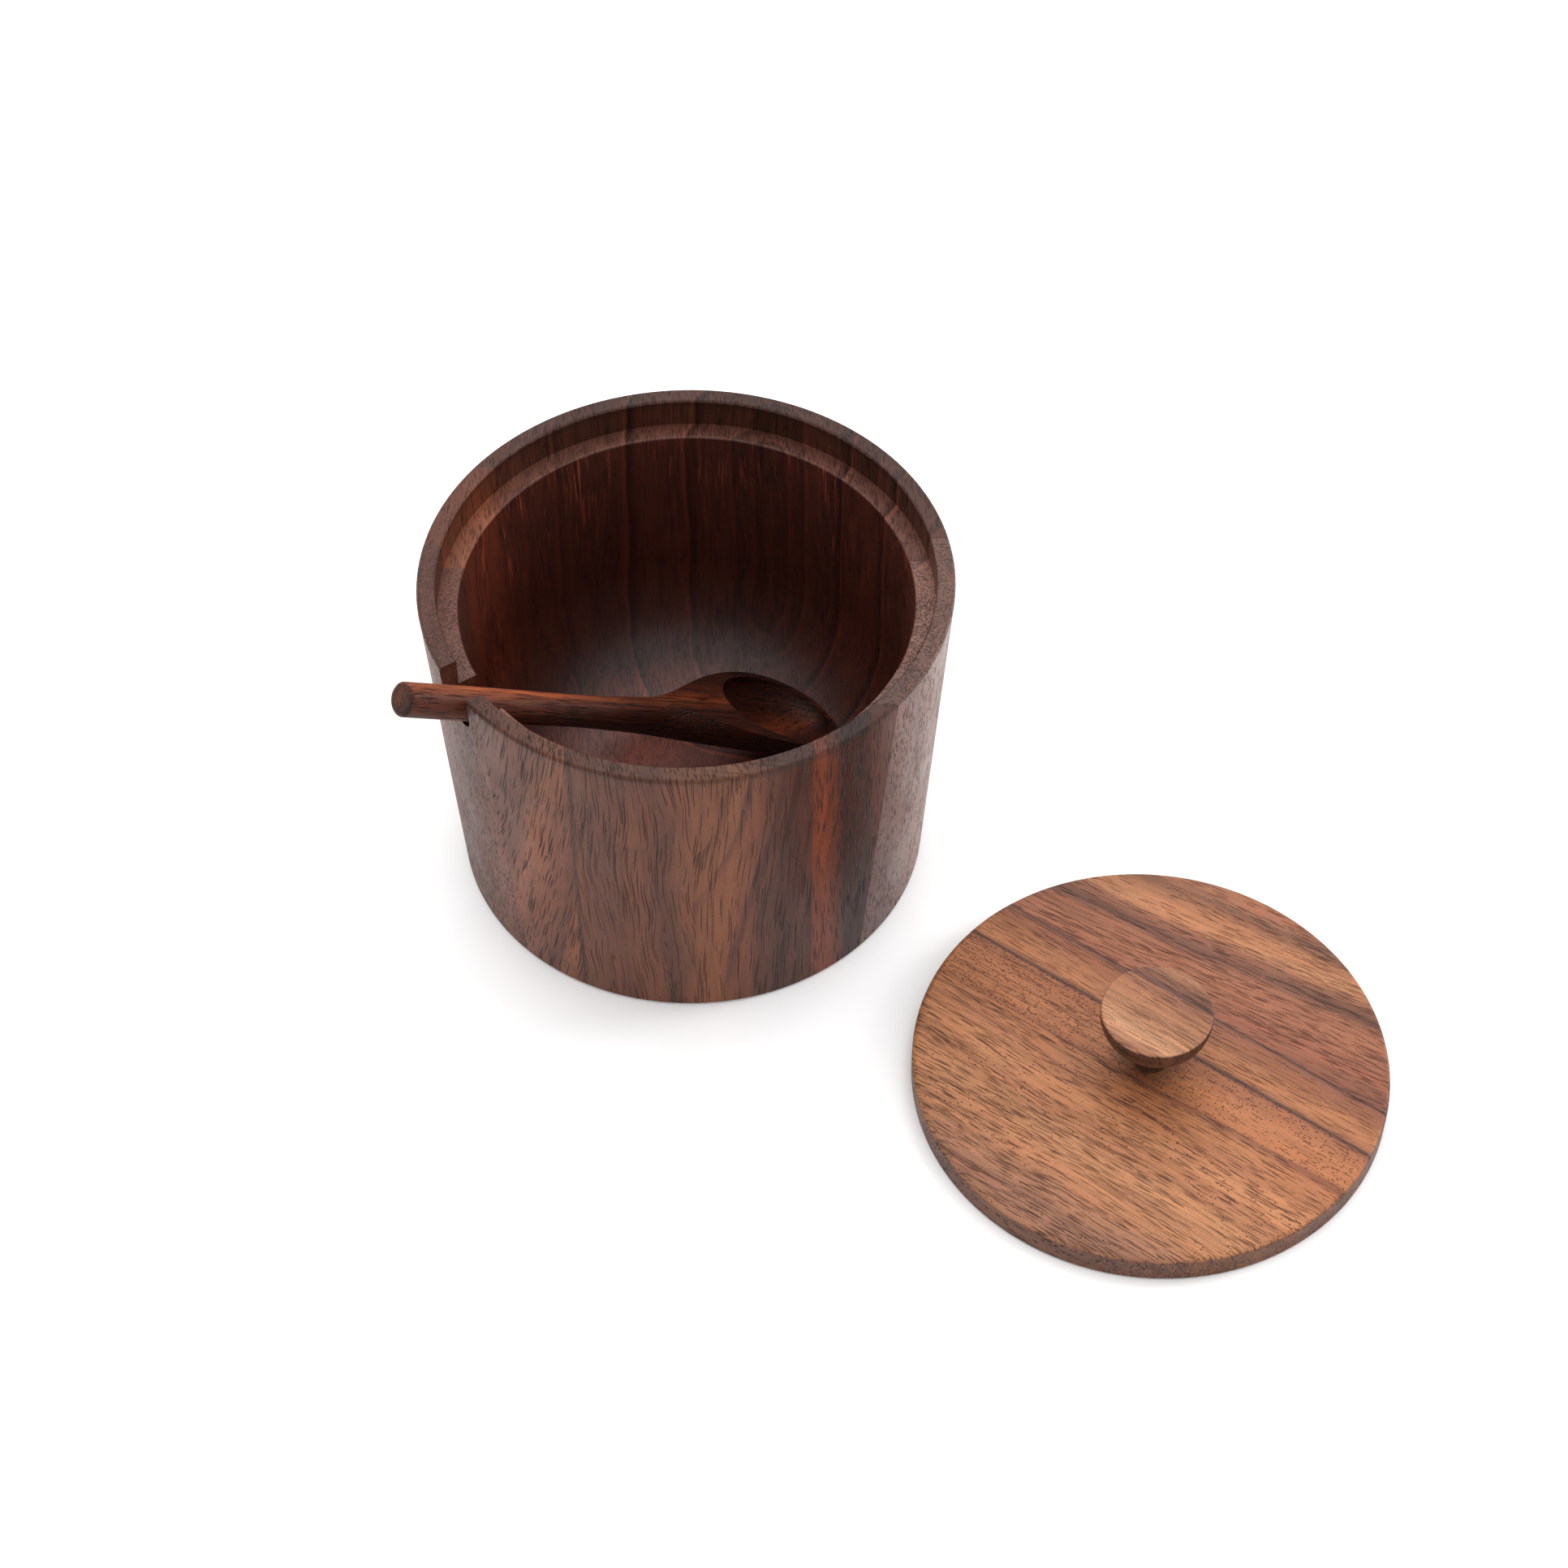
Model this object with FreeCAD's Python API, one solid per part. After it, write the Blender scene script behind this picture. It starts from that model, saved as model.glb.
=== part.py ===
import FreeCAD, Part
import math
import os

# Wooden sugar bowl with a lift-off lid and a wooden spoon, in millimetres.
# The bowl stands on z = 0 with its axis on Z.  The lid lies on the same surface beside
# the bowl, and the spoon lies in the bowl with its handle out through the slot.

# ---- driving dimensions -------------------------------------------------------------
BOWL_HEIGHT = 86.6
RIM_RADIUS = 60.25
BASE_RADIUS = 55.1
RIM_ROUND = 0.9
BASE_ROUND = 1.0
FLOOR_THICKNESS = 9.0

REBATE_RADIUS = 56.0
REBATE_DEPTH = 7.4
CAVITY_RADIUS = 51.4
CAVITY_ROUND = 30.0
EDGE_ROUND = 0.5

SLOT_AZIMUTH = -148.0
SLOT_WIDTH = 11.5
SLOT_CORNER = 3.0
SLOT_OUTER_FLOOR = 76.9
SLOT_INNER_FLOOR = 70.5

LID_X = 103.6
LID_Y = -77.4
LID_RADIUS = 54.15
LID_THICKNESS = 7.0
LID_TOP_ROUND = 1.2
LID_BOTTOM_ROUND = 0.6

KNOB_HEIGHT = 18.3
KNOB_TOP_RADIUS = 12.6
KNOB_NECK_RADIUS = 3.6
KNOB_BASE_RADIUS = 4.0
KNOB_NECK_HEIGHT = 4.2
KNOB_CAP_DEPTH = 7.6
KNOB_EDGE_ROUND = 0.5

SCREW_HEAD_RADIUS = 3.7
SCREW_HEAD_EDGE = 0.3
SINK_CLEARANCE = 0.1
SCREW_SHANK_RADIUS = 1.5
SCREW_THREAD_RADIUS = 1.95
SCREW_THREAD_PITCH = 1.4
SCREW_HOLE_RADIUS = 2.0
SCREW_RECESS = 0.3
SCREW_LENGTH = 18.0
DRIVE_SLOT_LENGTH = 3.8
DRIVE_SLOT_WIDTH = 0.9
DRIVE_SLOT_DEPTH = 1.4

SPOON_AZIMUTH = 33.4
SPOON_SLOPE = 36.4
SPOON_SLOT_HEIGHT = 79.2
SPOON_END = -21.3
SPOON_WAIST = 30.0
SPOON_MOUTH_CENTRE = 96.4
SPOON_MOUTH_LENGTH = 36.0
SPOON_MOUTH_WIDTH = 28.0
SPOON_MOUTH_LEVEL = 4.8
SPOON_WALL = 1.8
HANDLE_RADIUS = 3.88
HANDLE_WAIST_RADIUS = 3.7
END_ROUND = 1.3
NECK_START = 50.0
NECK_RISE_START = 56.0
NECK_RISE_END = 92.0
KEEL_GAIN = 1.2
KEEL_LOSS = 0.3
KEEL_END = 66.0
SPOON_DEPTH = SPOON_MOUTH_LEVEL + HANDLE_WAIST_RADIUS + KEEL_GAIN - KEEL_LOSS

# The block that the bowl is turned from: five layers glued face to face, each layer
# edge-glued from sticks whose grain runs up the bowl.
LAYER_SEAMS = (-39.0, -14.3, 10.3, 35.0)
LAYERS = (
    ("front", (-25.5, 0.85, 27.2)),
    ("front_middle", (-12.0,)),
    ("centre", (22.0,)),
    ("back_middle", (-27.0,)),
    ("back", (-36.5,)),
)
# The lid's boards meet along lines given by their distance from the lid's centre and
# by their direction.
LID_SEAMS = ((-6.4, -35.6), (6.4, -37.4), (18.4, -37.4))

FAR = 200.0
Z_AXIS = FreeCAD.Vector(0, 0, 1)
ORIGIN = FreeCAD.Vector(0, 0, 0)


# ---- helpers ------------------------------------------------------------------------
def point(radius, height):
    """A point of a turned profile, in the XZ plane."""
    return FreeCAD.Vector(radius, 0, height)


def line(start, end):
    return Part.LineSegment(start, end).toShape()


def arc(start, middle, end):
    return Part.Arc(start, middle, end).toShape()


def corner_arc(centre, radius, from_degrees, to_degrees):
    """A round corner of a turned profile, between two directions about its centre."""
    points = []
    for turn in (from_degrees, (from_degrees + to_degrees) / 2, to_degrees):
        angle = math.radians(turn)
        points.append(centre + point(radius * math.cos(angle), radius * math.sin(angle)))
    return points


def turned(edges):
    """The solid that a closed half profile makes when it turns about Z."""
    face = Part.Face(Part.Wire(edges))
    return face.revolve(ORIGIN, Z_AXIS, 360)


def profile_edges(steps):
    """Edges through a list of points and of three-point arcs, closed on itself."""
    edges = []
    first = steps[0]
    here = first
    for step in steps[1:]:
        if isinstance(step, list):
            edges.append(line(here, step[0]))
            edges.append(arc(*step))
            here = step[2]
        else:
            edges.append(line(here, step))
            here = step
    edges.append(line(here, first))
    return edges


def save(shape, name):
    shape.exportStep("parts/" + name + ".step")


# ---- bowl ---------------------------------------------------------------------------
def bowl_blank():
    """The whole turned bowl, before its slot is cut."""
    lean = math.degrees(math.atan((RIM_RADIUS - BASE_RADIUS) / BOWL_HEIGHT))
    ledge = BOWL_HEIGHT - REBATE_DEPTH
    base_corner = corner_arc(point(BASE_RADIUS - BASE_ROUND, BASE_ROUND), BASE_ROUND, -90, -lean)
    rim_corner = corner_arc(
        point(RIM_RADIUS - RIM_ROUND, BOWL_HEIGHT - RIM_ROUND), RIM_ROUND, -lean, 90)
    rim_inner = corner_arc(
        point(REBATE_RADIUS + EDGE_ROUND, BOWL_HEIGHT - EDGE_ROUND), EDGE_ROUND, 90, 180)
    ledge_corner = corner_arc(
        point(CAVITY_RADIUS + EDGE_ROUND, ledge - EDGE_ROUND), EDGE_ROUND, 90, 180)
    cavity_corner = corner_arc(
        point(CAVITY_RADIUS - CAVITY_ROUND, FLOOR_THICKNESS + CAVITY_ROUND),
        CAVITY_ROUND, 0, -90)
    return turned(profile_edges([
        point(0, 0), base_corner, rim_corner, rim_inner,
        point(REBATE_RADIUS, ledge), ledge_corner, cavity_corner,
        point(0, FLOOR_THICKNESS)]))


def spoon_slot():
    """A round-cornered channel through the wall, open at the top."""
    half = SLOT_WIDTH / 2
    inner, outer = CAVITY_RADIUS, RIM_RADIUS
    fall = (SLOT_OUTER_FLOOR - SLOT_INNER_FLOOR) / (outer - inner)
    start, end = CAVITY_RADIUS - 12, RIM_RADIUS + 8
    floor = SLOT_INNER_FLOOR - fall * (inner - start)
    top = BOWL_HEIGHT + 10

    def at(across, height):
        return FreeCAD.Vector(start, across, height)

    bend = SLOT_CORNER * (1 - math.sqrt(0.5))
    edges = [
        line(at(-half, top), at(-half, floor + SLOT_CORNER)),
        arc(at(-half, floor + SLOT_CORNER), at(-half + bend, floor + bend),
            at(-half + SLOT_CORNER, floor)),
        line(at(-half + SLOT_CORNER, floor), at(half - SLOT_CORNER, floor)),
        arc(at(half - SLOT_CORNER, floor), at(half - bend, floor + bend),
            at(half, floor + SLOT_CORNER)),
        line(at(half, floor + SLOT_CORNER), at(half, top)),
        line(at(half, top), at(-half, top)),
    ]
    run = end - start
    channel = Part.Face(Part.Wire(edges)).extrude(FreeCAD.Vector(run, 0, fall * run))
    channel.rotate(ORIGIN, Z_AXIS, SLOT_AZIMUTH)
    return channel


def bowl_sticks():
    """The bowl, sawn along its glue lines into its sticks."""
    bowl = bowl_blank().cut(spoon_slot())
    rows = (-FAR,) + LAYER_SEAMS + (FAR,)
    sticks = {}
    for number, (layer, splits) in enumerate(LAYERS):
        low_y, high_y = rows[number], rows[number + 1]
        columns = (-FAR,) + splits + (FAR,)
        for place in range(len(columns) - 1):
            low_x, high_x = columns[place], columns[place + 1]
            box = Part.makeBox(high_x - low_x, high_y - low_y, FAR,
                               FreeCAD.Vector(low_x, low_y, -FAR / 4))
            sticks["bowl_" + layer + "_stick_" + str(place + 1)] = bowl.common(box)
    return sticks


# ---- lid ----------------------------------------------------------------------------
def lid_blank():
    """The turned lid, with its countersunk screw hole, about its own centre."""
    top = corner_arc(point(LID_RADIUS - LID_TOP_ROUND, LID_THICKNESS - LID_TOP_ROUND),
                     LID_TOP_ROUND, 0, 90)
    bottom = corner_arc(point(LID_RADIUS - LID_BOTTOM_ROUND, LID_BOTTOM_ROUND),
                        LID_BOTTOM_ROUND, -90, 0)
    disc = turned(profile_edges([point(0, 0), bottom, top, point(0, LID_THICKNESS)]))
    sink = SCREW_HEAD_RADIUS + SCREW_RECESS + SCREW_HEAD_EDGE + SINK_CLEARANCE
    hole = Part.makeCylinder(SCREW_HOLE_RADIUS, LID_THICKNESS * 2, point(0, -LID_THICKNESS / 2))
    cone = Part.makeCone(sink, SCREW_HOLE_RADIUS, sink - SCREW_HOLE_RADIUS)
    return disc.cut(hole.fuse(cone))


def half_space(offset, direction):
    """Everything beyond a glue line that runs in a direction, at a distance from Z."""
    block = Part.makeBox(2 * FAR, FAR, FAR, FreeCAD.Vector(-FAR, offset, -FAR / 2))
    block.rotate(ORIGIN, Z_AXIS, direction)
    return block


def lid_boards():
    disc = lid_blank()
    boards = {}
    rest = disc
    for number, (offset, direction) in enumerate(LID_SEAMS):
        beyond = half_space(offset, direction)
        boards["lid_board_" + str(number + 1)] = rest.cut(beyond)
        rest = rest.common(beyond)
    boards["lid_board_" + str(len(LID_SEAMS) + 1)] = rest
    return boards


def knob():
    """Mushroom knob: a neck that sweeps out under a thick flat-topped cap."""
    neck = point(KNOB_NECK_RADIUS, KNOB_NECK_HEIGHT)
    under = point(KNOB_TOP_RADIUS - 2.6, KNOB_HEIGHT - KNOB_CAP_DEPTH)
    top_edge = point(KNOB_TOP_RADIUS, KNOB_HEIGHT - KNOB_EDGE_ROUND)
    top_start = point(KNOB_TOP_RADIUS - KNOB_EDGE_ROUND, KNOB_HEIGHT)
    bend = KNOB_EDGE_ROUND * (1 - math.sqrt(0.5))
    edges = [
        line(point(0, 0), point(KNOB_BASE_RADIUS, 0)),
        arc(point(KNOB_BASE_RADIUS, 0),
            point((KNOB_BASE_RADIUS + KNOB_NECK_RADIUS) / 2 - 0.15, KNOB_NECK_HEIGHT / 2), neck),
        arc(neck, point((neck.x + under.x) / 2 - 1.0, (neck.z + under.z) / 2 + 0.8), under),
        arc(under, point(KNOB_TOP_RADIUS - 0.6, KNOB_HEIGHT - KNOB_CAP_DEPTH / 2 - 0.9), top_edge),
        arc(top_edge, point(KNOB_TOP_RADIUS - bend, KNOB_HEIGHT - bend), top_start),
        line(top_start, point(0, KNOB_HEIGHT)),
        line(point(0, KNOB_HEIGHT), point(0, 0)),
    ]
    pilot_depth = SCREW_LENGTH + SCREW_RECESS - LID_THICKNESS + 0.6
    pilot = Part.makeCylinder(SCREW_HOLE_RADIUS, pilot_depth * 2, point(0, -pilot_depth))
    shape = turned(edges).cut(pilot)
    shape.translate(FreeCAD.Vector(0, 0, LID_THICKNESS))
    return shape


def knob_screw():
    """Countersunk wood screw, driven up through the lid into the knob."""
    head = SCREW_HEAD_RADIUS - SCREW_SHANK_RADIUS
    steps = [point(0, 0), point(SCREW_HEAD_RADIUS, 0), point(SCREW_HEAD_RADIUS, SCREW_HEAD_EDGE),
             point(SCREW_SHANK_RADIUS, head + SCREW_HEAD_EDGE)]
    height = LID_THICKNESS
    tip = SCREW_LENGTH - 3.0
    while height + SCREW_THREAD_PITCH < tip:
        steps.append(point(SCREW_SHANK_RADIUS, height))
        steps.append(point(SCREW_THREAD_RADIUS, height + 0.35 * SCREW_THREAD_PITCH))
        steps.append(point(SCREW_SHANK_RADIUS, height + 0.6 * SCREW_THREAD_PITCH))
        height += SCREW_THREAD_PITCH
    steps.append(point(SCREW_SHANK_RADIUS, tip))
    steps.append(point(0, SCREW_LENGTH))
    screw = turned(profile_edges(steps))
    for turn in (0, 90):
        recess = Part.makeBox(DRIVE_SLOT_LENGTH, DRIVE_SLOT_WIDTH, DRIVE_SLOT_DEPTH * 2,
                              FreeCAD.Vector(-DRIVE_SLOT_LENGTH / 2, -DRIVE_SLOT_WIDTH / 2,
                                             -DRIVE_SLOT_DEPTH))
        recess.rotate(ORIGIN, Z_AXIS, turn)
        screw = screw.cut(recess)
    screw.translate(point(0, SCREW_RECESS))
    return screw


# ---- spoon --------------------------------------------------------------------------
# The spoon is built along +X, with the point where its handle crosses the slot at X = 0
# and its rim plane parallel to the handle, then tipped down into the bowl.
def oval(along, level, half_width, half_height):
    """A closed oval section across the spoon."""
    count = 16
    points = []
    for number in range(count):
        angle = 2 * math.pi * number / count
        points.append(FreeCAD.Vector(along, half_width * math.cos(angle),
                                     level + half_height * math.sin(angle)))
    curve = Part.BSplineCurve()
    curve.interpolate(points, PeriodicFlag=True)
    return Part.Wire(curve.toShape())


def eased(value, start, end):
    """Rises smoothly from 0 at start to 1 at end."""
    share = max(0.0, min(1.0, (value - start) / (end - start)))
    return share * share * (3 - 2 * share)


def spoon_body():
    """The spoon as if its bowl were solid, and as full above its rim as below."""
    half_length = SPOON_MOUTH_LENGTH / 2
    half_width = SPOON_MOUTH_WIDTH / 2
    sections = []
    handle_sections = 8
    for number in range(handle_sections):
        along = SPOON_END + (SPOON_WAIST - SPOON_END) * number / handle_sections
        radius = (HANDLE_RADIUS
                  - (HANDLE_RADIUS - HANDLE_WAIST_RADIUS) * eased(along, 0, SPOON_WAIST))
        sections.append(oval(along, 0, radius, radius))
    neck_sections = 10
    for number in range(neck_sections + 1):
        share = number / neck_sections
        along = SPOON_WAIST + share * (SPOON_MOUTH_CENTRE - SPOON_WAIST)
        level = SPOON_MOUTH_LEVEL * eased(along, NECK_RISE_START, NECK_RISE_END)
        spread = (half_width - HANDLE_WAIST_RADIUS) * eased(along, NECK_START, SPOON_MOUTH_CENTRE)
        keel = (HANDLE_WAIST_RADIUS + KEEL_GAIN * eased(along, SPOON_WAIST, KEEL_END)
                - KEEL_LOSS * eased(along, KEEL_END, SPOON_MOUTH_CENTRE))
        sections.append(oval(along, level, HANDLE_WAIST_RADIUS + spread, level + keel))
    for turn in (25, 48, 66, 80):
        angle = math.radians(turn)
        sections.append(oval(SPOON_MOUTH_CENTRE + half_length * math.sin(angle),
                             SPOON_MOUTH_LEVEL, half_width * math.cos(angle),
                             SPOON_DEPTH * math.cos(angle)))
    return Part.makeLoft(sections, True, False).common(rounded_end())


def rounded_end():
    """All the space that the handle's rounded end leaves to the spoon."""
    face = HANDLE_RADIUS - END_ROUND
    outside = HANDLE_RADIUS + 0.2
    bend = END_ROUND * (1 - math.sqrt(0.5))
    far_end = FAR - SPOON_END
    shape = turned([
        line(point(0, 0), point(face, 0)),
        arc(point(face, 0), point(outside - bend, bend), point(outside, END_ROUND)),
        line(point(outside, END_ROUND), point(FAR, END_ROUND)),
        line(point(FAR, END_ROUND), point(FAR, far_end)),
        line(point(FAR, far_end), point(0, far_end)),
        line(point(0, far_end), point(0, 0)),
    ])
    shape.rotate(ORIGIN, FreeCAD.Vector(0, 1, 0), 90)
    shape.translate(FreeCAD.Vector(SPOON_END, 0, 0))
    return shape


def spoon_hollow():
    """The hollow of the spoon's bowl, as a stretched ball."""
    stretch = FreeCAD.Matrix()
    stretch.scale(SPOON_MOUTH_LENGTH / 2 - SPOON_WALL, SPOON_MOUTH_WIDTH / 2 - SPOON_WALL,
                  SPOON_DEPTH - SPOON_WALL)
    shape = Part.makeSphere(1.0).transformGeometry(stretch)
    shape.translate(FreeCAD.Vector(SPOON_MOUTH_CENTRE, 0, SPOON_MOUTH_LEVEL))
    return shape


def spoon():
    above = Part.makeBox(FAR, FAR, FAR, FreeCAD.Vector(SPOON_WAIST, -FAR / 2, SPOON_MOUTH_LEVEL))
    shape = spoon_body().cut(above).cut(spoon_hollow())
    shape.rotate(ORIGIN, FreeCAD.Vector(0, 1, 0), SPOON_SLOPE)
    shape.translate(FreeCAD.Vector(-REBATE_RADIUS, 0, SPOON_SLOT_HEIGHT))
    shape.rotate(ORIGIN, Z_AXIS, SPOON_AZIMUTH)
    return shape


# ---- write every piece --------------------------------------------------------------
def main():
    os.makedirs("parts", exist_ok=True)
    for name, stick in bowl_sticks().items():
        save(stick, name)
    lid_place = FreeCAD.Vector(LID_X, LID_Y, 0)
    lid_pieces = dict(lid_boards(), lid_knob=knob(), knob_screw=knob_screw())
    for name, piece in lid_pieces.items():
        piece.translate(lid_place)
        save(piece, name)
    save(spoon(), "spoon")


main()
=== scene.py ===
import math
from types import SimpleNamespace

import bpy
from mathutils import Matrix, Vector


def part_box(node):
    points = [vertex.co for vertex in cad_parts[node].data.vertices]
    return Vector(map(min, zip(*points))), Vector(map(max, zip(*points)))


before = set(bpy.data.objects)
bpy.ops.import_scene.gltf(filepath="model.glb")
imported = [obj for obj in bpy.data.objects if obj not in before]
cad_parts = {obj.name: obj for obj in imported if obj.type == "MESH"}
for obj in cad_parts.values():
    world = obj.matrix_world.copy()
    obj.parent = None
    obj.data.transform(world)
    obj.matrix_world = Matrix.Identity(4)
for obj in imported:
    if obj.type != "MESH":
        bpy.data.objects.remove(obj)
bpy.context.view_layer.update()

# ---- places on the object, in millimetres -------------------------------------------
MM_PER_M = 1000.0
UP = Vector((0.0, 0.0, 1.0))
knob_low, knob_high = [corner * MM_PER_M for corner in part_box("lid_knob")]
knob_middle = (knob_low + knob_high) / 2
LID_CENTRE = Vector((knob_middle.x, knob_middle.y, 0.0))
KNOB_FOOT = LID_CENTRE + UP * knob_low.z
KNOB_CROWN = LID_CENTRE + UP * knob_high.z
SPOON_AZIMUTH = 33.4
SPOON_SLOPE = 36.4
SPOON_SLOT_OUT = -56.0
SPOON_SLOT_HEIGHT = 79.2
BOWL_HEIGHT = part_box("bowl_back_stick_2")[1].z * MM_PER_M
LEDGE_HEIGHT = 79.2
CAVITY_FLOOR = 9.0
CAVITY_RADIUS = 51.4
REBATE_RADIUS = 56.0
# reach of the painted shade around the knob's foot
KNOB_SHADE_NEAR = 4.0
KNOB_SHADE_FAR = 11.0
PORE_DEPTH = 0.00022  # metres

# ---- colours that tint the wood, as stains and as painted light and shade, as linear multipliers ---
RING_EDGE = (0.30, 0.24, 0.22, 1.0)
CLOUD_DARK = (0.34, 0.26, 0.24, 1.0)
CLOUD_LIGHT = (1.6, 1.25, 0.95, 1.0)
STREAK_DARK = (0.42, 0.33, 0.31, 1.0)
STREAK_LIGHT = (1.55, 1.3, 1.15, 1.0)
THREAD_DARK = (0.50, 0.40, 0.36, 1.0)
GRIT_DARK = (0.55, 0.46, 0.42, 1.0)
GRIT_LIGHT = (1.35, 1.3, 1.28, 1.0)
LINE_DARK = (0.26, 0.17, 0.15, 1.0)
PORE_DARK = (0.16, 0.10, 0.08, 1.0)
CAVITY_RING_DARK = (0.16, 0.10, 0.09, 1.0)
CAVITY_RING_LIGHT = (2.6, 2.1, 1.9, 1.0)
GLUE_DARK = (0.20, 0.14, 0.13, 1.0)
END_GRAIN_DARK = (0.50, 0.42, 0.42, 1.0)
# painted shade around the knob's foot
KNOB_SHADE_DARK = (0.28, 0.23, 0.22, 1.0)
# painted shade for the cavity walls, and a painted reflection for its floor
CAVITY_WALL_SHADE = (0.72, 0.54, 0.54, 1.0)
CAVITY_FLOOR_REFLECTION = (2.5, 1.9, 1.9, 1.0)
# a painted highlight for the ledge's upward faces
LEDGE_HIGHLIGHT = (1.5, 2.0, 2.5, 1.0)
RIM_HANDLED = (0.66, 0.72, 0.74, 1.0)
# painted shade for the rebate's upright wall
REBATE_SHADE = (0.72, 0.76, 0.76, 1.0)
PORE_FILL_PALE = (4.2, 4.0, 3.8, 1.0)

# ---- where the growth rings of a stick have their pith, across and through it --------
RING_PITH = (30.0, 60.0)
CAVITY_RING_PITH = (19.0, 46.0)

# The look that every piece of wood starts from. Lengths are in millimetres.
PLAIN_WOOD = dict(
    along=UP,                        # the way the grain runs
    across=Vector((1.0, 0.0, 0.0)),  # the way the tone bands follow one another
    origin=Vector((0.0, 0.0, 0.0)),
    shift=0.0,                       # moves every pattern, so that no two pieces match
    lean=0.0,                        # sideways drift of the grain per millimetre along
    wander=2.4,
    wander_length=70.0,
    ring_step=3.4,
    ring_strength=0.35,
    mottle=0.14,                     # strength of the cloudy colour
    fibre=0.18,                      # strength of streaks and threads
    lines=0.55,                      # strength of the thin wavy lines
    pore_wide=0.42,
    pore_long=4.2,
    pore_share=0.55,
    pore_dark=0.62,
    dots=0.0,                        # share of round pores, as on a cross-cut face
    deep=9.0,                        # how many times deeper than wide a pattern's cells are
    rings_at=(),                     # (radius, strength) of strong rings seen in the cavity
    glue=(),                         # distances across the board of dark seam lines
    glue_dark=0.55,
    end_grain=0.5,
    end_tone=END_GRAIN_DARK,
    side_shade=1.0,                   # tone of painted shade on upright and downward faces
    fade=(0.0, 1.0, 1.0),            # (start, end, tone) of painted shade that deepens along the grain
    knob_shade=0.0,                       # how much painted shade darkens the wood around the knob's foot
    tint=(1.0, 1.0, 1.0),
    inside=False,                    # whether the piece has a share of the bowl's cavity
    gloss=0.42,                      # middle roughness
    shine=0.3,                       # specular level
    coat=0.05,
    bump=0.55,
)


def linear(colour):
    """A 0-255 display colour as the linear colour that shaders use."""
    values = []
    for channel in colour:
        share = channel / 255
        values.append(share / 12.92 if share <= 0.04045 else ((share + 0.055) / 1.055) ** 2.4)
    return (*values, 1.0)


def flat_direction(degrees):
    """The level direction at this angle from +X."""
    angle = math.radians(degrees)
    return Vector((math.cos(angle), math.sin(angle), 0.0))


class Shader:
    """One material's nodes, with short calls for the common ones."""

    def __init__(self, name):
        self.material = bpy.data.materials.new(name)
        self.material.use_nodes = True
        self.tree = self.material.node_tree
        self.tree.nodes.clear()

    def fill(self, socket, value):
        """Link the socket to another one, or set its number or colour."""
        if isinstance(value, bpy.types.NodeSocket):
            self.tree.links.new(value, socket)
        else:
            socket.default_value = value

    def node(self, kind, inputs=(), **settings):
        made = self.tree.nodes.new(kind)
        for key, value in settings.items():
            setattr(made, key, value)
        for key, value in dict(inputs).items():
            self.fill(made.inputs[key], value)
        return made

    def coordinate(self, kind):
        return self.node("ShaderNodeTexCoord").outputs[kind]

    def math(self, operation, first, second=0.0, third=0.0, clamp=False):
        made = self.node("ShaderNodeMath", {0: first, 1: second, 2: third},
                         operation=operation, use_clamp=clamp)
        return made.outputs[0]

    def product(self, *values):
        """The values multiplied together."""
        result = values[0]
        for value in values[1:]:
            result = self.math("MULTIPLY", result, value)
        return result

    def vector(self, operation, first, second=None, scale=None):
        inputs = {0: first}
        if second is not None:
            inputs[1] = second
        if scale is not None:
            inputs["Scale"] = scale
        made = self.node("ShaderNodeVectorMath", inputs, operation=operation)
        return made.outputs["Value" if operation in ("DOT_PRODUCT", "LENGTH") else "Vector"]

    def combine(self, x, y, z):
        return self.node("ShaderNodeCombineXYZ", {"X": x, "Y": y, "Z": z}).outputs[0]

    def noise(self, vector, detail=2.0, roughness=0.5):
        return self.node("ShaderNodeTexNoise",
                         {"Vector": vector, "Scale": 1.0, "Detail": detail,
                          "Roughness": roughness, "Distortion": 0.0}).outputs["Fac"]

    def spots(self, vector):
        """Cells with a point each, as their Distance and Color outputs."""
        return self.node("ShaderNodeTexVoronoi",
                         {"Vector": vector, "Scale": 1.0, "Randomness": 1.0},
                         feature="F1").outputs

    def between(self, value, low, high, to_low=0.0, to_high=1.0, smooth=True):
        """to_low where value is low, to_high where it is high, and a blend in between."""
        return self.node("ShaderNodeMapRange",
                         {"Value": value, "From Min": low, "From Max": high,
                          "To Min": to_low, "To Max": to_high},
                         interpolation_type="SMOOTHSTEP" if smooth else "LINEAR",
                         clamp=True).outputs["Result"]

    def ramp(self, value, stops):
        """stops are (position, linear colour)."""
        made = self.node("ShaderNodeValToRGB", {"Fac": value})
        made.color_ramp.interpolation = "EASE"
        elements = made.color_ramp.elements
        while len(elements) > 1:
            elements.remove(elements[-1])
        for number, (position, colour) in enumerate(stops):
            element = elements[0] if number == 0 else elements.new(position)
            element.position = position
            element.color = colour
        return made.outputs["Color"]

    def stained(self, colour, amount, stain_or_painted_light):
        """colour multiplied by a staining colour or by painted light and shade, as far as amount
        says.
        """
        made = self.node("ShaderNodeMix", data_type="RGBA", blend_type="MULTIPLY",
                         clamp_factor=True)
        for index, value in ((0, amount), (6, colour), (7, stain_or_painted_light)):
            self.fill(made.inputs[index], value)
        return made.outputs[2]

    def relief(self, height, strength, distance):
        return self.node("ShaderNodeBump", {"Height": height, "Strength": strength,
                                            "Distance": distance}).outputs[0]

    def surface(self, **inputs):
        """Close the material with a Principled shader."""
        named = {key.replace("_", " "): value for key, value in inputs.items()}
        shader = self.node("ShaderNodeBsdfPrincipled", named)
        self.node("ShaderNodeOutputMaterial", {"Surface": shader.outputs[0]})


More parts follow.
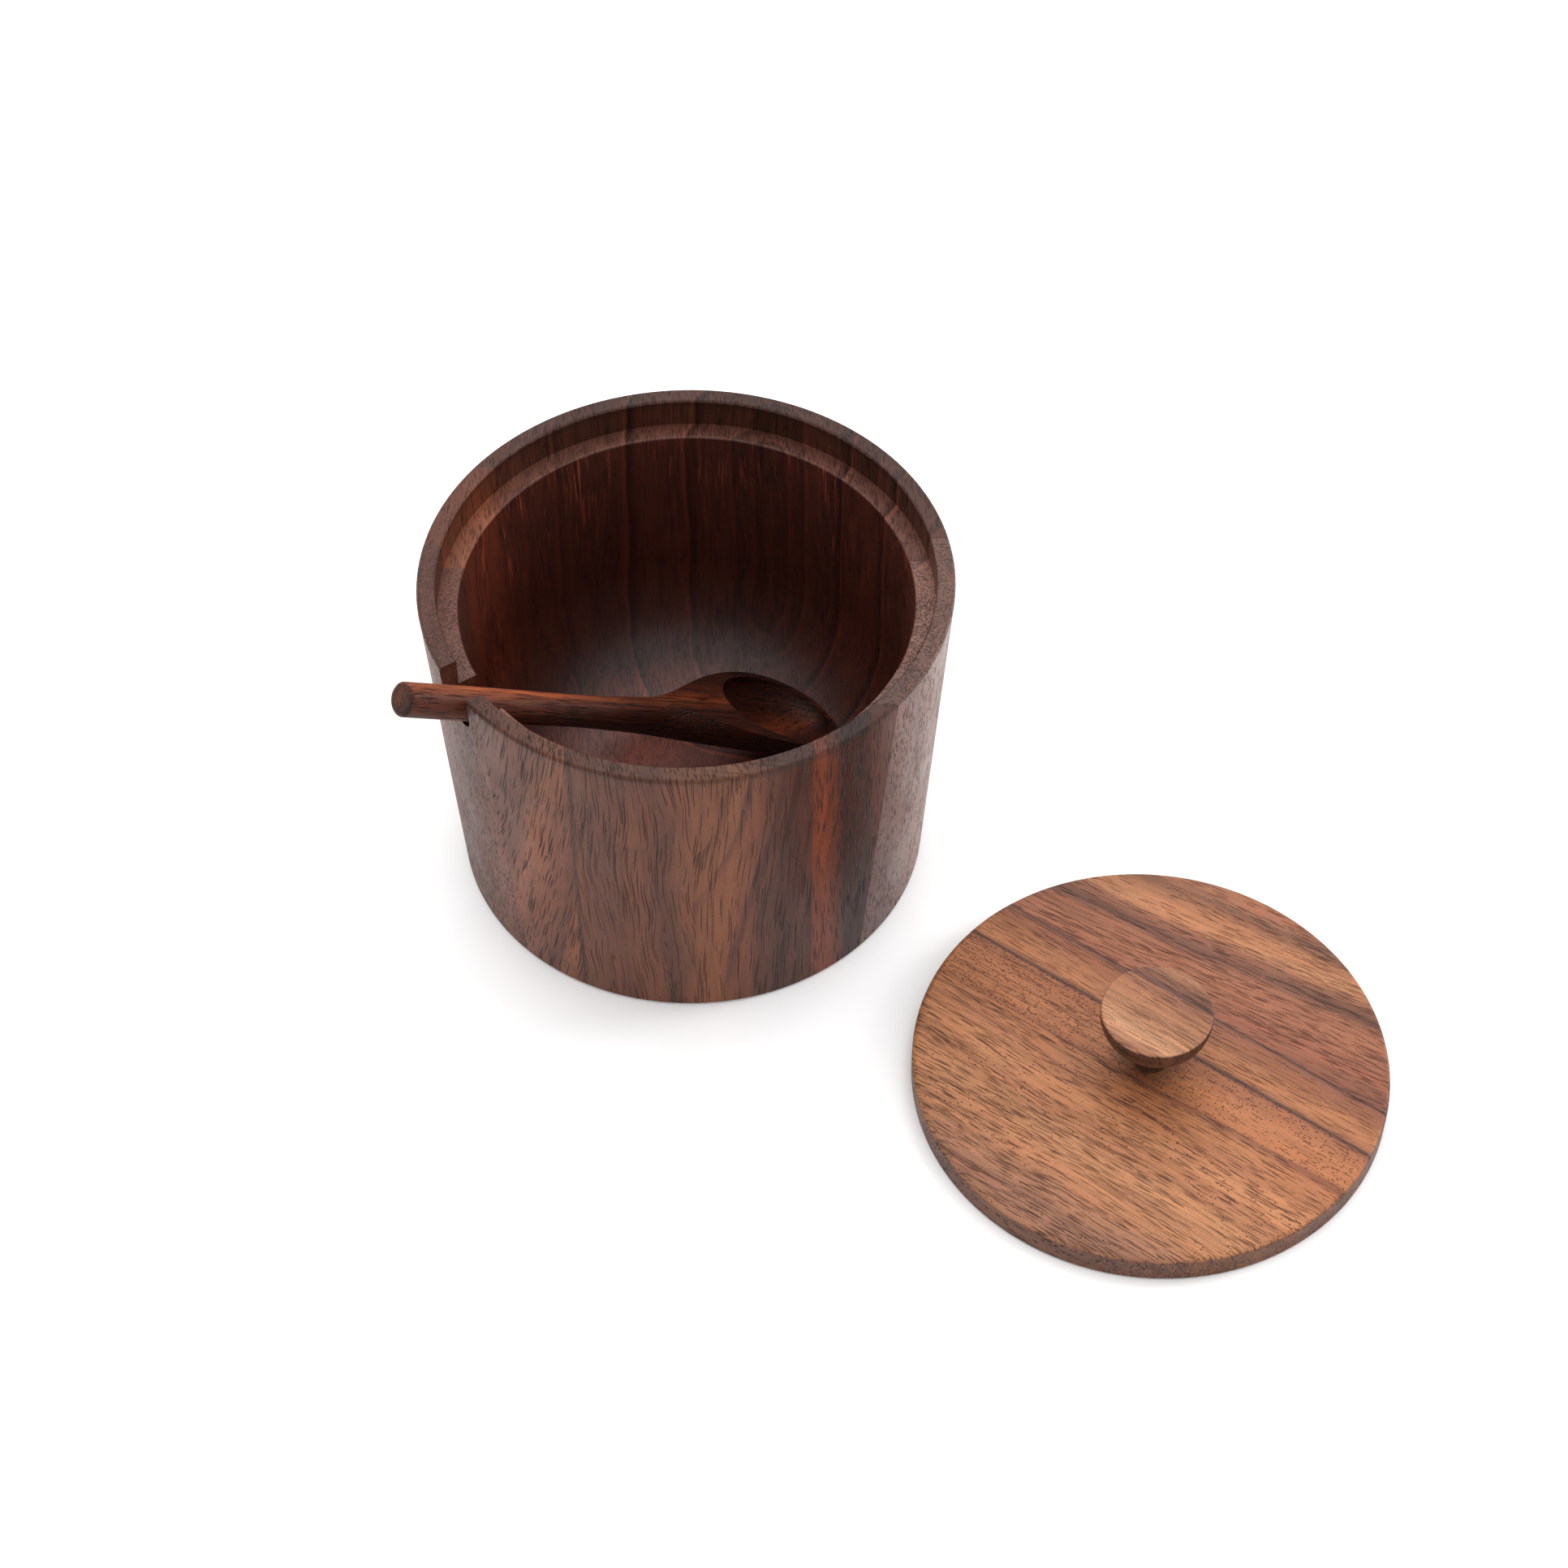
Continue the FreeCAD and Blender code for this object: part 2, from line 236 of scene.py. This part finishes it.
class Wood(Shader):
    """An oiled hardwood, stained and given painted light and shade layer by layer in the board's
    own grain frame.

    u runs across the tone bands, v through the board and w along the grain, in
    millimetres. bands are (distance across the board, display colour).
    """

    def __init__(self, name, bands, **changes):
        super().__init__(name)
        self.look = SimpleNamespace(**{**PLAIN_WOOD, **changes})
        self.lay_grain()
        self.tone_bands(bands)
        self.growth_rings()
        self.clouds_and_streaks()
        self.cut_fibres()
        self.wavy_lines()
        self.open_pores()
        self.cavity_rings()
        self.glue_lines()
        self.end_grain_shade_and_tint()
        self.oil()
        if self.look.inside:
            self.cavity_shade_reflection_and_oil()
            self.rim_wear_and_ledge_light_and_shade()
            self.filled_pores()
        self.close()

    def wash(self, amount, stain_or_painted_light):
        """Multiply the colour by a staining colour or by painted light and shade, as far as
        amount says.
        """
        self.colour = self.stained(self.colour, amount, stain_or_painted_light)

    def cells(self, wide, long, offset=0.0, deep=1.0, straight=False):
        """The grain frame in cells `wide` across, `long` along and `deep` times as deep as
        they are wide. straight leaves the bands' wandering out."""
        shift = self.look.shift + offset
        across = self.straight if straight else self.u
        return self.combine(self.math("MULTIPLY_ADD", across, 1 / wide, shift),
                            self.math("MULTIPLY_ADD", self.v, 1 / (wide * deep), shift * 0.7),
                            self.math("MULTIPLY_ADD", self.w, 1 / long, shift * 1.3))

    def distance_from(self, pith):
        """Distance from a pith line that runs along the grain."""
        return self.vector("LENGTH", self.combine(self.math("SUBTRACT", self.u, pith[0]),
                                                  self.math("SUBTRACT", self.v, pith[1]), 0.0))

    def lay_grain(self):
        """The grain frame, which wanders and leans a little along the board."""
        look = self.look
        across = (look.across - look.along * look.across.dot(look.along)).normalized()
        self.spot = self.vector("SCALE", self.coordinate("Object"), scale=MM_PER_M)
        self.place = self.vector("SUBTRACT", self.spot, tuple(look.origin))
        self.straight = self.vector("DOT_PRODUCT", self.place, tuple(across))
        self.u = self.straight
        self.v = self.vector("DOT_PRODUCT", self.place, tuple(look.along.cross(across)))
        self.w = self.vector("DOT_PRODUCT", self.place, tuple(look.along))

        bend = self.noise(self.cells(26.0, look.wander_length))
        bend = self.math("MULTIPLY_ADD", bend, 2 * look.wander, -look.wander)
        ripple = self.noise(self.cells(7.0, 22.0, 5.1), 1.0)
        ripple = self.math("MULTIPLY_ADD", ripple, 0.5 * look.wander, -0.25 * look.wander)
        wandered = self.math("ADD", self.u, self.math("ADD", bend, ripple))
        self.u = self.math("MULTIPLY_ADD", self.w, look.lean, wandered)
        self.v = self.math("ADD", self.v, self.product(bend, 0.6))

    def tone_bands(self, bands):
        """The broad bands of colour across the board, in display colours."""
        low = bands[0][0]
        high = bands[-1][0]
        stops = [((x - low) / (high - low), linear(colour)) for x, colour in bands]
        self.colour = self.ramp(self.between(self.u, low, high, smooth=False), stops)

    def growth_rings(self):
        """A slow rise and a thin dark edge for each ring, in patches."""
        radius = self.distance_from(RING_PITH)
        uneven = self.noise(self.combine(self.product(radius, 0.16), self.look.shift, 0.0), 3.0)
        turns = self.math("ADD", self.product(radius, 1 / self.look.ring_step),
                          self.product(uneven, 5.0))
        phase = self.math("FRACT", turns)
        edge = self.product(self.between(phase, 0.45, 0.93), self.between(phase, 1.0, 0.93))
        patch = self.between(self.noise(self.cells(9.0, 60.0, 11.0), 1.0), 0.32, 0.62)
        strength = self.product(patch, self.look.ring_strength)
        self.ring_edge = self.math("MULTIPLY", edge, strength, clamp=True)
        self.wash(self.ring_edge, RING_EDGE)

    def clouds_and_streaks(self):
        """Cloudy colour, long streaks and fine threads along the grain."""
        look = self.look
        self.cloud = self.noise(self.cells(12.0, 45.0, 3.0), 3.0)
        self.wash(self.between(self.cloud, 0.35, 0.75, 0.0, look.mottle), CLOUD_DARK)
        self.wash(self.between(self.cloud, 0.50, 0.25, 0.0, look.mottle), CLOUD_LIGHT)
        self.streak = self.noise(self.cells(1.5, 34.0, 7.0, 0.4 * look.deep + 0.6), 3.0, 0.6)
        self.wash(self.between(self.streak, 0.46, 0.74, 0.0, 1.7 * look.fibre + 0.1), STREAK_DARK)
        self.wash(self.between(self.streak, 0.50, 0.30, 0.0, 1.3 * look.fibre), STREAK_LIGHT)
        self.threads = self.noise(self.cells(0.24, 6.0, 9.0, look.deep), 2.0, 0.65)
        self.wash(self.between(self.threads, 0.40, 0.72, 0.0, 1.6 * look.fibre), THREAD_DARK)

    def cut_fibres(self):
        """Fine speckle of the cut fibres."""
        grit = self.noise(self.cells(0.22, 0.5, 16.0), 1.0, 0.6)
        self.wash(self.between(grit, 0.50, 0.75, 0.0, 0.5), GRIT_DARK)
        self.wash(self.between(grit, 0.48, 0.28, 0.0, 0.35), GRIT_LIGHT)

    def wavy_lines(self):
        """Thin wavy grain lines, where a slow noise crosses its middle."""
        wave = self.noise(self.cells(1.0, 26.0, 14.0, self.look.deep), 1.0)
        away = self.math("ABSOLUTE", self.math("SUBTRACT", wave, 0.5))
        self.line = self.product(self.between(away, 0.030, 0.004),
                                 self.between(self.cloud, 0.42, 0.62))
        self.wash(self.product(self.line, self.look.lines), LINE_DARK)

    def open_pores(self):
        """Short dark dashes along the grain, in drifts, and round dots where asked for."""
        look = self.look
        cells = self.spots(self.cells(look.pore_wide, look.pore_long, 1.7, look.deep))
        self.drift = self.noise(self.cells(4.2, 30.0, 2.3), 2.0, 0.6)
        share = self.between(self.drift, 0.34, 0.62, 0.25 * look.pore_share, look.pore_share)
        picked = self.vector("DOT_PRODUCT", cells["Color"], (1.0, 0.0, 0.0))
        self.pore = self.product(self.math("LESS_THAN", picked, share),
                                 self.between(cells["Distance"], 0.46, 0.30))
        if look.dots:
            dots = self.spots(self.cells(0.55, 0.9, 4.0, straight=True))
            picked = self.vector("DOT_PRODUCT", dots["Color"], (0.0, 1.0, 0.0))
            dot = self.product(self.math("LESS_THAN", picked, look.dots),
                               self.between(dots["Distance"], 0.36, 0.18))
            self.pore = self.math("MAXIMUM", self.pore, dot)
        self.wash(self.product(self.pore, look.pore_dark), PORE_DARK)

    def cavity_rings(self):
        """Strong rings seen inside the bowl: a dark line with a pale edge outside it."""
        if not self.look.rings_at:
            return
        around = self.distance_from(CAVITY_RING_PITH)
        for radius, strength in self.look.rings_at:
            offset = self.math("SUBTRACT", around, radius)
            line = self.product(self.between(offset, -2.6, 0.0), self.between(offset, 0.35, 0.0))
            self.wash(self.product(line, strength), CAVITY_RING_DARK)
            light = self.product(self.between(offset, 0.1, 0.7), self.between(offset, 1.6, 0.7))
            self.wash(self.product(light, 0.5 * strength), CAVITY_RING_LIGHT)

    def glue_lines(self):
        """Glue lines stay straight where the grain wanders."""
        for seam in self.look.glue:
            away = self.math("ABSOLUTE", self.math("SUBTRACT", self.straight, seam))
            soft = self.noise(self.cells(2.0, 9.0, 6.0, straight=True))
            line = self.between(away, self.math("MULTIPLY_ADD", soft, 1.6, 0.1), 0.12)
            self.wash(self.product(line, self.look.glue_dark), GLUE_DARK)

    def end_grain_shade_and_tint(self):
        """End grain is darker, and painted shade darkens upright and downward faces, the far part
        along the grain and the wood by the knob's foot.
        """
        look = self.look
        normal = self.coordinate("Normal")
        self.level = self.node("ShaderNodeSeparateXYZ", {0: normal}).outputs["Z"]
        facing = self.math("ABSOLUTE", self.vector("DOT_PRODUCT", normal, tuple(look.along)))
        self.wash(self.between(facing, 0.55, 0.98, 0.0, look.end_grain), look.end_tone)
        # painted shade on upright and downward faces
        if look.side_shade != 1.0:
            tone = look.side_shade
            self.wash(self.between(self.level, 0.75, 0.15), (tone, 0.86 * tone, 0.82 * tone, 1.0))
        # painted shade that deepens along the grain, as down the spoon into the cavity
        start, end, tone = look.fade
        if tone != 1.0:
            self.wash(self.between(self.w, start, end), (tone, 0.88 * tone, 0.85 * tone, 1.0))
        # painted shade: the wood darkens towards the knob's foot, where the knob shades the lid
        # and its own neck
        if look.knob_shade:
            reach = self.vector("LENGTH", self.vector("SUBTRACT", self.spot, tuple(KNOB_FOOT)))
            self.wash(self.between(reach, KNOB_SHADE_FAR, KNOB_SHADE_NEAR, 0.0, look.knob_shade), KNOB_SHADE_DARK)
        self.wash(1.0, (*look.tint, 1.0))

    def oil(self):
        """Oil sits unevenly, and pores stay dull."""
        look = self.look
        wear = self.noise(self.cells(9.0, 14.0, 8.0, straight=True), 4.0)
        rough = self.between(wear, 0.25, 0.8, look.gloss - 0.07, look.gloss + 0.1, smooth=False)
        self.rough = self.math("ADD", rough, self.product(self.pore, 0.22), clamp=True)
        self.layer = look.coat

    def cavity_shade_reflection_and_oil(self):
        """The cavity walls are darkened as painted shade and its floor lightened as a painted
        reflection; its oil is built up to a soft shine.
        """
        self.height = self.vector("DOT_PRODUCT", self.place, (0.0, 0.0, 1.0))
        self.from_axis = self.vector("LENGTH", self.vector("MULTIPLY", self.place,
                                                           (1.0, 1.0, 0.0)))
        self.within = self.product(
            self.between(self.from_axis, CAVITY_RADIUS + 0.5, CAVITY_RADIUS + 0.2),
            self.product(self.between(self.height, LEDGE_HEIGHT - 0.1, LEDGE_HEIGHT - 0.5),
                         self.between(self.height, CAVITY_FLOOR - 2.0, CAVITY_FLOOR - 0.5)))
        depth = self.between(self.height, CAVITY_FLOOR + 9.0, CAVITY_FLOOR)
        # painted shade on the walls, and a painted reflection on the floor
        self.wash(self.within,
                  self.ramp(depth, [(0.0, CAVITY_WALL_SHADE), (1.0, CAVITY_FLOOR_REFLECTION)]))
        self.layer = self.math("MULTIPLY_ADD", self.within, 0.6, self.look.coat)

    def rim_wear_and_ledge_light_and_shade(self):
        """Handling has darkened the rim, a painted highlight makes the ledge paler, and painted
        shade darkens the rebate's upright wall.
        """
        near_ledge = self.product(
            self.between(self.height, LEDGE_HEIGHT - 4.2, LEDGE_HEIGHT - 1.2),
            self.between(self.height, LEDGE_HEIGHT + 2.8, LEDGE_HEIGHT + 0.8))
        # painted highlight on the ledge's upward faces
        self.wash(self.product(self.between(self.level, 0.8, 0.95), near_ledge), LEDGE_HIGHLIGHT)
        self.wash(self.between(self.height, BOWL_HEIGHT - 2.6, BOWL_HEIGHT - 0.6), RIM_HANDLED)
        # painted shade on the rebate's upright wall
        upright = self.product(
            self.between(self.level, 0.6, 0.3),
            self.between(self.height, LEDGE_HEIGHT - 0.4, LEDGE_HEIGHT + 0.2))
        near = self.between(self.from_axis, REBATE_RADIUS + 0.6, REBATE_RADIUS + 0.2)
        self.wash(self.product(near, upright), REBATE_SHADE)

    def filled_pores(self):
        """Pale filled pores high on the cavity wall."""
        pale = self.noise(self.cells(0.45, 13.0, 12.0, self.look.deep), 1.0)
        high_up = self.product(self.between(self.drift, 0.40, 0.60),
                               self.between(self.height, CAVITY_FLOOR + 22.0, LEDGE_HEIGHT))
        pale = self.product(self.between(pale, 0.56, 0.68), high_up)
        self.wash(self.product(self.product(self.within, pale), 0.9), PORE_FILL_PALE)

    def close(self):
        """Pores, lines and ring edges are sunk, and fibres stand a little proud."""
        height = self.product(self.math("MAXIMUM", self.pore, self.line), -1.0)
        for share, amount in ((self.threads, 0.35), (self.streak, 0.25), (self.ring_edge, -0.5)):
            height = self.math("ADD", height, self.product(share, amount))
        self.surface(Base_Color=self.colour, Roughness=self.rough, IOR=1.48,
                     Specular_IOR_Level=self.look.shine,
                     Normal=self.relief(height, self.look.bump, PORE_DEPTH),
                     Coat_Weight=self.layer, Coat_Roughness=0.4, Coat_IOR=1.5)


class Steel(Shader):
    """Zinc-plated steel with turned marks and small scratches."""

    def __init__(self, name):
        super().__init__(name)
        place = self.vector("SCALE", self.coordinate("Object"), scale=MM_PER_M)
        clouds = self.noise(self.vector("SCALE", place, scale=0.8), 4.0, 0.6)
        scratches = self.noise(self.vector("MULTIPLY", place, (9.0, 1.4, 3.0)), 3.0, 0.7)
        colour = self.ramp(clouds, [(0.25, linear((150, 150, 148))),
                                    (0.55, linear((186, 187, 188))),
                                    (0.85, linear((205, 203, 196)))])
        rough = self.between(scratches, 0.3, 0.7, 0.26, 0.46, smooth=False)
        self.surface(Base_Color=colour, Metallic=1.0, Roughness=rough,
                     Normal=self.relief(scratches, 0.25, 0.0001))


class StudioWhite(Shader):
    """A matt, almost even white."""

    def __init__(self, name):
        super().__init__(name)
        place = self.vector("SCALE", self.coordinate("Object"), scale=30.0)
        colour = self.ramp(self.noise(place, 3.0), [(0.0, (0.90, 0.90, 0.90, 1.0)),
                                                    (1.0, (0.93, 0.93, 0.93, 1.0))])
        self.surface(Base_Color=colour, Roughness=0.9, Specular_IOR_Level=0.1)


def paint(node, shader):
    """Give a CAD node this material, in place of the ones it had."""
    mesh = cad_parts[node].data
    mesh.materials.clear()
    mesh.materials.append(shader.material)


# ---- bowl: the grain runs up the wall and the bands follow one another along X -------
CAVITY_RINGS = ((4.0, 0.35), (8.5, 0.4), (19.5, 0.65), (34.0, 0.75), (50.0, 0.35))
BOWL = dict(tint=(0.72, 0.49, 0.33), pore_wide=0.30, end_grain=0.12, fibre=0.17, shine=0.2,
            mottle=0.08, ring_strength=0.22, lines=0.75, inside=True)
STICKS = {
    "bowl_front_stick_1": dict(
        bands=[(-48, (104, 72, 62)), (-43, (138, 98, 82)), (-38, (122, 82, 68)),
               (-33, (108, 72, 58)), (-29, (132, 92, 72)), (-26.5, (116, 80, 64)),
               (-25, (72, 48, 44))],
        shift=1.3, lean=-0.16, wander=2.2, pore_share=0.85, pore_long=15.0, pore_dark=0.95,
        ring_step=2.6, glue=(-25.5,)),
    "bowl_front_stick_2": dict(
        bands=[(-26, (84, 58, 52)), (-22, (108, 78, 68)), (-15, (102, 72, 64)),
               (-9, (112, 78, 66)), (-4, (96, 66, 58)), (1, (118, 84, 70))],
        shift=17.9, lean=0.05, wander=4.5, wander_length=55.0, pore_share=0.9, pore_long=20.0,
        pore_dark=0.8, ring_step=3.0, glue=(-25.5,)),
    "bowl_front_stick_3": dict(
        bands=[(0, (124, 88, 70)), (6, (132, 94, 74)), (11, (118, 80, 66)),
               (15, (92, 64, 58)), (20, (80, 54, 52)), (25, (92, 62, 56)), (27.2, (70, 46, 46))],
        shift=31.4, lean=-0.04, wander=2.6, pore_share=0.9, pore_long=18.0, pore_dark=0.75,
        ring_step=2.4, ring_strength=0.6),
    "bowl_front_stick_4": dict(
        bands=[(27, (132, 78, 56)), (31, (138, 80, 57)), (33.5, (108, 64, 52)),
               (35.5, (66, 40, 36)), (40, (70, 44, 40)), (43, (98, 65, 58)), (47, (110, 76, 68))],
        tint=(0.56, 0.38, 0.28), shift=44.2, lean=0.02, wander=0.9, pore_share=0.8,
        pore_long=9.0, pore_dark=0.9, ring_step=2.0, ring_strength=0.4),
    "bowl_front_middle_stick_1": dict(
        bands=[(-60, (112, 78, 70)), (-52, (96, 66, 60)), (-44, (118, 82, 70)),
               (-34, (88, 58, 52)), (-22, (100, 66, 58)), (-12, (86, 56, 50))],
        deep=1.0, shift=52.8, lean=-0.05, wander=2.6, pore_share=0.8, pore_long=5.0,
        pore_dark=0.85, dots=0.3),
    "bowl_front_middle_stick_2": dict(
        bands=[(-13, (92, 60, 52)), (8, (86, 56, 50)), (30, (96, 64, 56)),
               (44, (98, 66, 59)), (48, (114, 79, 71)), (54, (130, 94, 86)), (60, (124, 88, 80))],
        shift=66.1, wander=1.8, pore_share=0.85, pore_long=3.2, pore_wide=0.55, pore_dark=0.6,
        gloss=0.34, shine=0.36, bump=1.0, deep=1.0, dots=0.35),
    "bowl_centre_stick_1": dict(
        bands=[(-60, (112, 78, 72)), (-48, (96, 64, 58)), (-30, (88, 56, 50)),
               (-8, (84, 54, 48)), (10, (94, 62, 54)), (22, (84, 54, 48))],
        deep=1.0, shift=71.7, wander=2.6, pore_share=0.75, pore_long=6.0, dots=0.2),
    "bowl_centre_stick_2": dict(
        bands=[(21, (88, 58, 52)), (36, (98, 64, 56)), (48, (118, 82, 74)),
               (60, (126, 90, 82))],
        shift=83.5, wander=1.8, pore_share=0.85, pore_long=3.4, pore_wide=0.55, pore_dark=0.6,
        gloss=0.34, shine=0.36, bump=1.0, deep=1.0, dots=0.35),
    "bowl_back_middle_stick_1": dict(
        bands=[(-56, (116, 74, 60)), (-47, (126, 78, 60)), (-40, (96, 62, 54)),
               (-27, (90, 58, 52))],
        shift=97.2, wander=2.4, pore_share=0.8, pore_long=7.0),
    "bowl_back_middle_stick_2": dict(
        bands=[(-28, (86, 56, 50)), (-8, (92, 60, 52)), (14, (84, 54, 48)),
               (34, (94, 60, 52)), (56, (96, 64, 58))],
        shift=104.6, wander=2.8, pore_share=0.8, pore_long=9.0),
    "bowl_back_stick_1": dict(
        bands=[(-49, (92, 60, 52)), (-42, (104, 68, 58)), (-36, (84, 54, 50))],
        shift=113.1, wander=1.6, pore_share=0.7, pore_long=7.0),
    "bowl_back_stick_2": dict(
        bands=[(-37, (94, 62, 54)), (-20, (84, 56, 50)), (-4, (92, 60, 54)),
               (16, (82, 54, 48)), (34, (90, 58, 52)), (49, (86, 58, 52))],
        shift=125.9, wander=2.6, pore_share=0.85, pore_long=9.0),
}
for node, look in STICKS.items():
    rings = CAVITY_RINGS if "back" in node or "centre" in node else ()
    paint(node, Wood("wood_" + node, rings_at=rings, **{**BOWL, **look}))


# ---- lid: the grain runs along the boards and the bands follow one another across it --
LID_GRAIN = flat_direction(-37.4)
LID_ACROSS = flat_direction(52.6)
LEANING_GRAIN = flat_direction(-31.0)
LEANING_ACROSS = flat_direction(59.0)
# The lid boards get painted shade on their upright edges and around the knob's foot.
LID = dict(origin=LID_CENTRE, tint=(0.86, 0.84, 0.68), end_grain=0.35, gloss=0.48,
           pore_wide=0.27, pore_long=5.5, fibre=0.22, side_shade=0.42, bump=0.8, pore_share=0.8,
           deep=3.0, knob_shade=0.75)
BOARDS = {
    "lid_board_1": dict(
        bands=[(-55, (164, 114, 90)), (-49, (146, 100, 82)), (-44, (160, 110, 86)),
               (-38, (176, 120, 88)), (-30, (184, 128, 94)), (-24, (172, 114, 82)),
               (-19, (182, 124, 90)), (-13, (166, 108, 76)), (-9, (176, 114, 78)),
               (-6, (136, 82, 58))],
        along=LID_GRAIN, across=LID_ACROSS, shift=2.2, wander=2.0, wander_length=60.0,
        pore_dark=0.85, dots=0.08, ring_step=3.0),
    "lid_board_2": dict(
        bands=[(-7, (148, 90, 62)), (-4, (166, 106, 72)), (0, (172, 110, 76)),
               (3, (160, 100, 70)), (5.5, (146, 90, 64)), (6.6, (96, 60, 50))],
        along=LID_GRAIN, across=LID_ACROSS, shift=21.0, wander=1.0, pore_share=0.3,
        pore_dark=0.7, pore_long=3.5, dots=0.4, ring_strength=0.2, glue=(6.4,), glue_dark=0.6),
    "lid_board_3": dict(
        bands=[(6, (110, 68, 54)), (8.5, (172, 112, 78)), (12, (164, 106, 74)),
               (15.5, (150, 92, 66)), (18.6, (110, 68, 56))],
        along=LID_GRAIN, across=LID_ACROSS, shift=35.0, wander=0.8, pore_share=0.55,
        pore_dark=0.7, ring_strength=0.3, glue=(6.4, 18.4), glue_dark=0.6),
    "lid_board_4": dict(
        bands=[(14, (124, 74, 58)), (20, (144, 86, 66)), (26, (156, 98, 74)),
               (31, (150, 94, 72)), (34, (106, 66, 54)), (36.5, (128, 80, 62)),
               (40, (172, 118, 88)), (44, (160, 106, 78)), (48, (134, 88, 68)),
               (55, (156, 100, 76))],
        along=LEANING_GRAIN, across=LEANING_ACROSS, shift=48.0, wander=1.8, pore_share=0.75,
        pore_dark=0.75, ring_step=2.6, ring_strength=0.5),
}
for node, look in BOARDS.items():
    paint(node, Wood("wood_" + node, **{**LID, **look}))

# The knob gets painted shade on its underside and on its neck by the foot.
paint("lid_knob", Wood(
    "wood_lid_knob",
    bands=[(-13, (168, 112, 88)), (-8, (196, 146, 118)), (-3, (182, 128, 98)),
           (2, (166, 112, 84)), (5.2, (158, 104, 80)), (6.6, (92, 60, 54)), (8, (128, 84, 68)),
           (13, (176, 124, 96))],
    along=LID_GRAIN, across=LID_ACROSS, origin=KNOB_CROWN, shift=60.5,
    wander=0.6, pore_share=0.6, pore_long=6.0, pore_wide=0.26, pore_dark=0.65, fibre=0.26,
    ring_step=1.8, ring_strength=0.35, end_grain=0.4, gloss=0.46, tint=(0.78, 0.75, 0.60),
    side_shade=0.25, knob_shade=0.75))
paint("knob_screw", Steel("zinc_steel"))


# ---- spoon: the grain runs along its handle, sloping down into the bowl --------------
slope = math.radians(SPOON_SLOPE)
spoon_along = flat_direction(SPOON_AZIMUTH) * math.cos(slope) - UP * math.sin(slope)
spoon_across = flat_direction(SPOON_AZIMUTH + 90)
spoon_origin = flat_direction(SPOON_AZIMUTH) * SPOON_SLOT_OUT + UP * SPOON_SLOT_HEIGHT
paint("spoon", Wood(
    "wood_spoon",
    # the bands are lightest along the handle's top and darker down its front: painted light and
    # shade
    bands=[(-15, (84, 50, 42)), (-9, (90, 53, 43)), (-3.4, (92, 54, 42)), (-1.6, (128, 76, 54)),
           (0.2, (166, 104, 72)), (2.2, (150, 92, 64)), (6, (100, 60, 48)), (15, (84, 50, 42))],
    along=spoon_along, across=spoon_across, origin=spoon_origin, shift=77.7, wander=1.2,
    wander_length=40.0, pore_share=0.8, pore_long=8.0, pore_wide=0.3, pore_dark=0.9, deep=2.0,
    ring_step=1.5, ring_strength=0.7, fibre=0.42, lines=0.8, end_grain=1.0,
    end_tone=(0.30, 0.33, 0.36, 1.0), gloss=0.5, coat=0.0, shine=0.2,
    # the spoon darkens along its length into the bowl's cavity: painted shade
    tint=(0.68, 0.50, 0.36), fade=(0.0, 50.0, 0.56)))


# ---- studio: a pale floor and soft light from above and both sides -------------------
FLOOR_SIZE = 8.0
FLOOR_GAP = 0.0002
bpy.ops.mesh.primitive_plane_add(size=FLOOR_SIZE, location=(0.0, 0.0, -FLOOR_GAP))
floor = bpy.context.object
floor.name = "studio_floor"
floor.data.materials.append(StudioWhite("studio_white").material)


def soft_light(name, place, target, size, watts):
    """A round white area light that points at the target."""
    data = bpy.data.lights.new(name, "AREA")
    data.shape = "DISK"
    data.size = size
    data.energy = watts
    lamp = bpy.data.objects.new(name, data)
    lamp.location = place
    lamp.rotation_euler = (Vector(target) - Vector(place)).to_track_quat("-Z", "Y").to_euler()
    bpy.context.scene.collection.objects.link(lamp)


# Both lights aim between the bowl and its lid.
MIDDLE = (0.03, -0.02, 0.03)
soft_light("key_light", (-0.1, 0.75, 1.7), MIDDLE, size=2.2, watts=22.0)
soft_light("right_light", (1.6, 0.35, 0.7), MIDDLE, size=0.6, watts=11.0)

world = bpy.data.worlds.new("studio_air")
world.use_nodes = True
background = world.node_tree.nodes["Background"]
background.inputs["Color"].default_value = (1.0, 1.0, 1.0, 1.0)
background.inputs["Strength"].default_value = 1.25
bpy.context.scene.world = world
bpy.context.scene.view_settings.view_transform = "Standard"


# ---- camera: at the photograph's viewing angle, in metres ----------------------------
CAMERA_PLACE = (0.011377, -0.539423, 0.657044)
CAMERA_AIM = Vector((0.012497, 0.642401, -0.766266))
camera_data = bpy.data.cameras.new("photo_camera")
camera_data.lens = 80.55
camera_data.sensor_width = 36.0
camera = bpy.data.objects.new("photo_camera", camera_data)
camera.location = CAMERA_PLACE
camera.rotation_euler = CAMERA_AIM.to_track_quat("-Z", "Y").to_euler()
bpy.context.scene.collection.objects.link(camera)
bpy.context.scene.camera = camera
